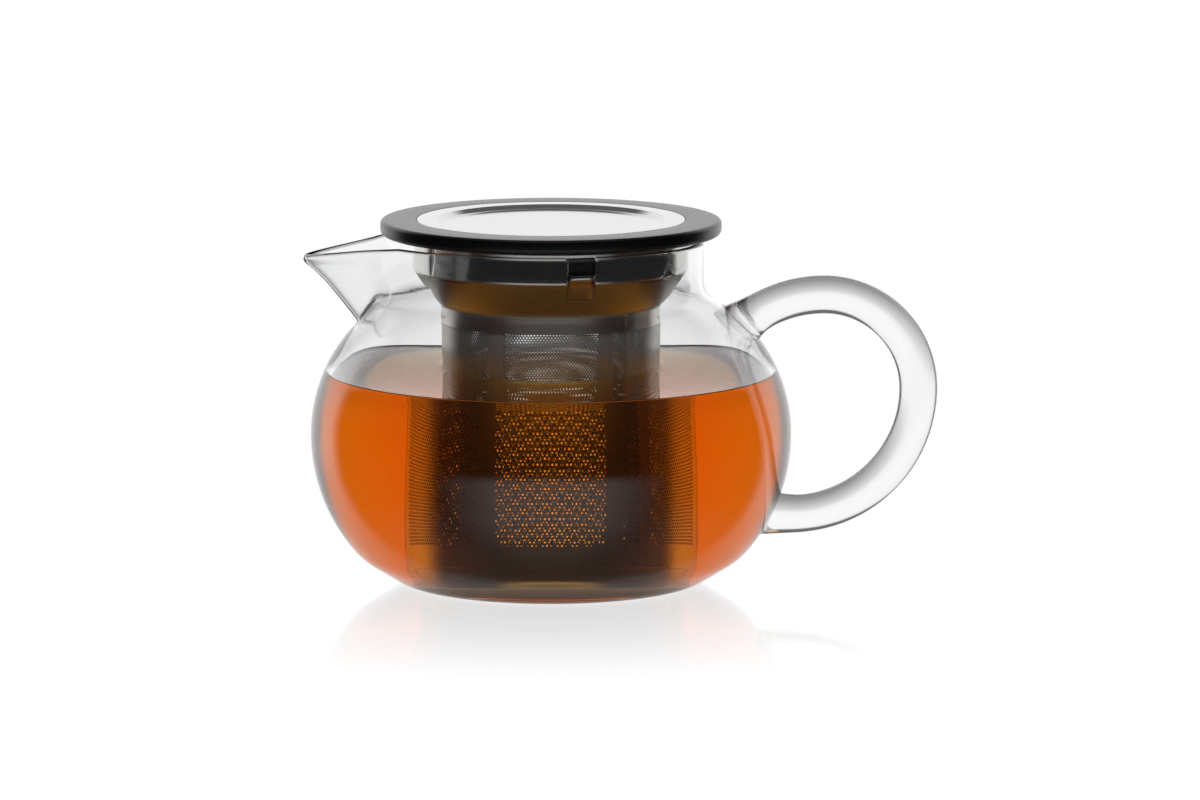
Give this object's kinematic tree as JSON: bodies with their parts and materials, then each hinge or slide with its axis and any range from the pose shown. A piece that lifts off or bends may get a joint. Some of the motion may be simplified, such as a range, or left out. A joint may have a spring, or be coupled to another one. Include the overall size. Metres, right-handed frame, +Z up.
{
  "type": "glass teapot with infuser",
  "caption": "Round glass teapot with a pinched spout, a looped glass handle, a lift-out perforated steel infuser and a flat lid with a steel plate.",
  "frame": {"origin": "centre of the flat foot that the pot stands on", "axes": "+Z up along the pot's axis, -X towards the spout, +X towards the handle, -Y the side seen in front"},
  "size_m": [0.1582, 0.12, 0.0915],
  "materials": {
    "pot_glass": "clear, fire-polished",
    "polished_steel": "mirror-polished stainless steel",
    "etched_steel": "satin, etched holes",
    "plate_steel": "satin floor with a polished rim",
    "black_plastic": "satin black",
    "seal_rubber": "matt silicone"
  },
  "bodies": {
    "pot": {"glass_pot": "pot_glass", "glass_handle": "pot_glass"},
    "infuser": {"infuser_collar": "polished_steel", "strainer_wall": "etched_steel", "strainer_base": "etched_steel"},
    "lid": {"lid_ring": "black_plastic", "lid_plate": "plate_steel", "lid_seal": "seal_rubber"}
  },
  "joints": [
    {"name": "infuser_lift", "type": "slide", "parent": "pot", "child": "infuser", "axis": [0, 0, 1], "range_m": [0, 0.1]},
    {"name": "lid_lift", "type": "slide", "parent": "infuser", "child": "lid", "axis": [0, 0, 1], "range_m": [0, 0.03]}
  ]
}
